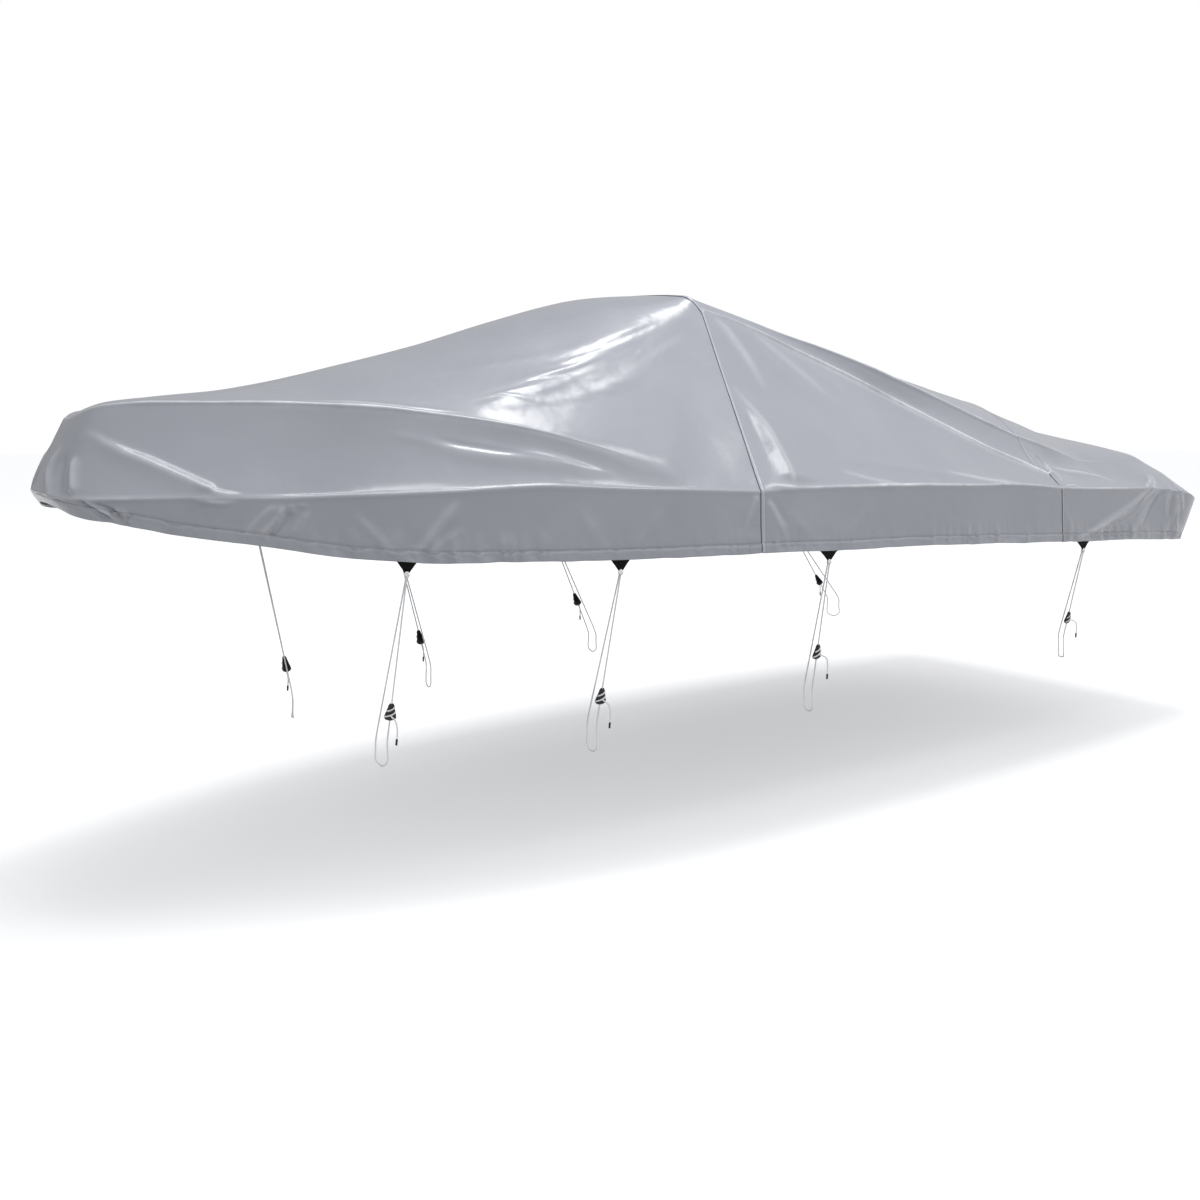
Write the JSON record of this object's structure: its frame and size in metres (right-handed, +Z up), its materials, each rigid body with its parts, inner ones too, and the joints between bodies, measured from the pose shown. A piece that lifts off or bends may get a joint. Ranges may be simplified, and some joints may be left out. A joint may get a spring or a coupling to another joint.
{
  "type": "fitted boat cover",
  "caption": "Fitted cover for a runabout on its trailer: draped sheet panels over bow rail and windscreen, straight skirt and hem, webbing tabs with cord ties and cord locks.",
  "frame": {"origin": "the point under the cover's top, on the plane of symmetry, where the boat's windscreen frame holds it up", "axes": "+X from bow to stern, +Z up, +Y to the side away from the picture's camera"},
  "size_m": [6.1, 2.168, 1.9063],
  "materials": {
    "cover_cloth": "grey coated polyester, semi-gloss",
    "seam_strip": "grey coated polyester strip, sewn over the seam",
    "webbing": "black woven webbing",
    "cord": "white braided cord",
    "cord_lock": "black moulded plastic",
    "cord_tip": "black moulded end cap"
  },
  "bodies": {
    "root": {"cord_lead_far_1": "cord", "cord_lead_far_2": "cord", "cord_lead_far_3": "cord", "cord_lead_far_4": "cord", "cord_lead_near_1": "cord", "cord_lead_near_2": "cord", "cord_lead_near_3": "cord", "cord_lead_near_4": "cord", "cord_loop_far_1": "cord", "cord_loop_far_2": "cord", "cord_loop_far_3": "cord", "cord_loop_far_4": "cord", "cord_loop_near_1": "cord", "cord_loop_near_2": "cord", "cord_loop_near_3": "cord", "cord_loop_near_4": "cord", "cord_tail_far_1": "cord", "cord_tail_far_2": "cord", "cord_tail_far_3": "cord", "cord_tail_far_4": "cord", "cord_tail_near_1": "cord", "cord_tail_near_2": "cord", "cord_tail_near_3": "cord", "cord_tail_near_4": "cord", "cord_tip_far_1": "cord_tip", "cord_tip_far_2": "cord_tip", "cord_tip_far_3": "cord_tip", "cord_tip_far_4": "cord_tip", "cord_tip_near_1": "cord_tip", "cord_tip_near_2": "cord_tip", "cord_tip_near_3": "cord_tip", "cord_tip_near_4": "cord_tip", "front_panel": "cover_cloth", "lock_far_1": "cord_lock", "lock_far_2": "cord_lock", "lock_far_3": "cord_lock", "lock_far_4": "cord_lock", "lock_near_1": "cord_lock", "lock_near_2": "cord_lock", "lock_near_3": "cord_lock", "lock_near_4": "cord_lock", "main_seam_strip": "seam_strip", "rear_panel": "cover_cloth", "rear_seam_strip": "seam_strip", "stern_panel": "cover_cloth", "tab_far_1": "webbing", "tab_far_2": "webbing", "tab_far_3": "webbing", "tab_far_4": "webbing", "tab_near_1": "webbing", "tab_near_2": "webbing", "tab_near_3": "webbing", "tab_near_4": "webbing"}
  },
  "joints": []
}
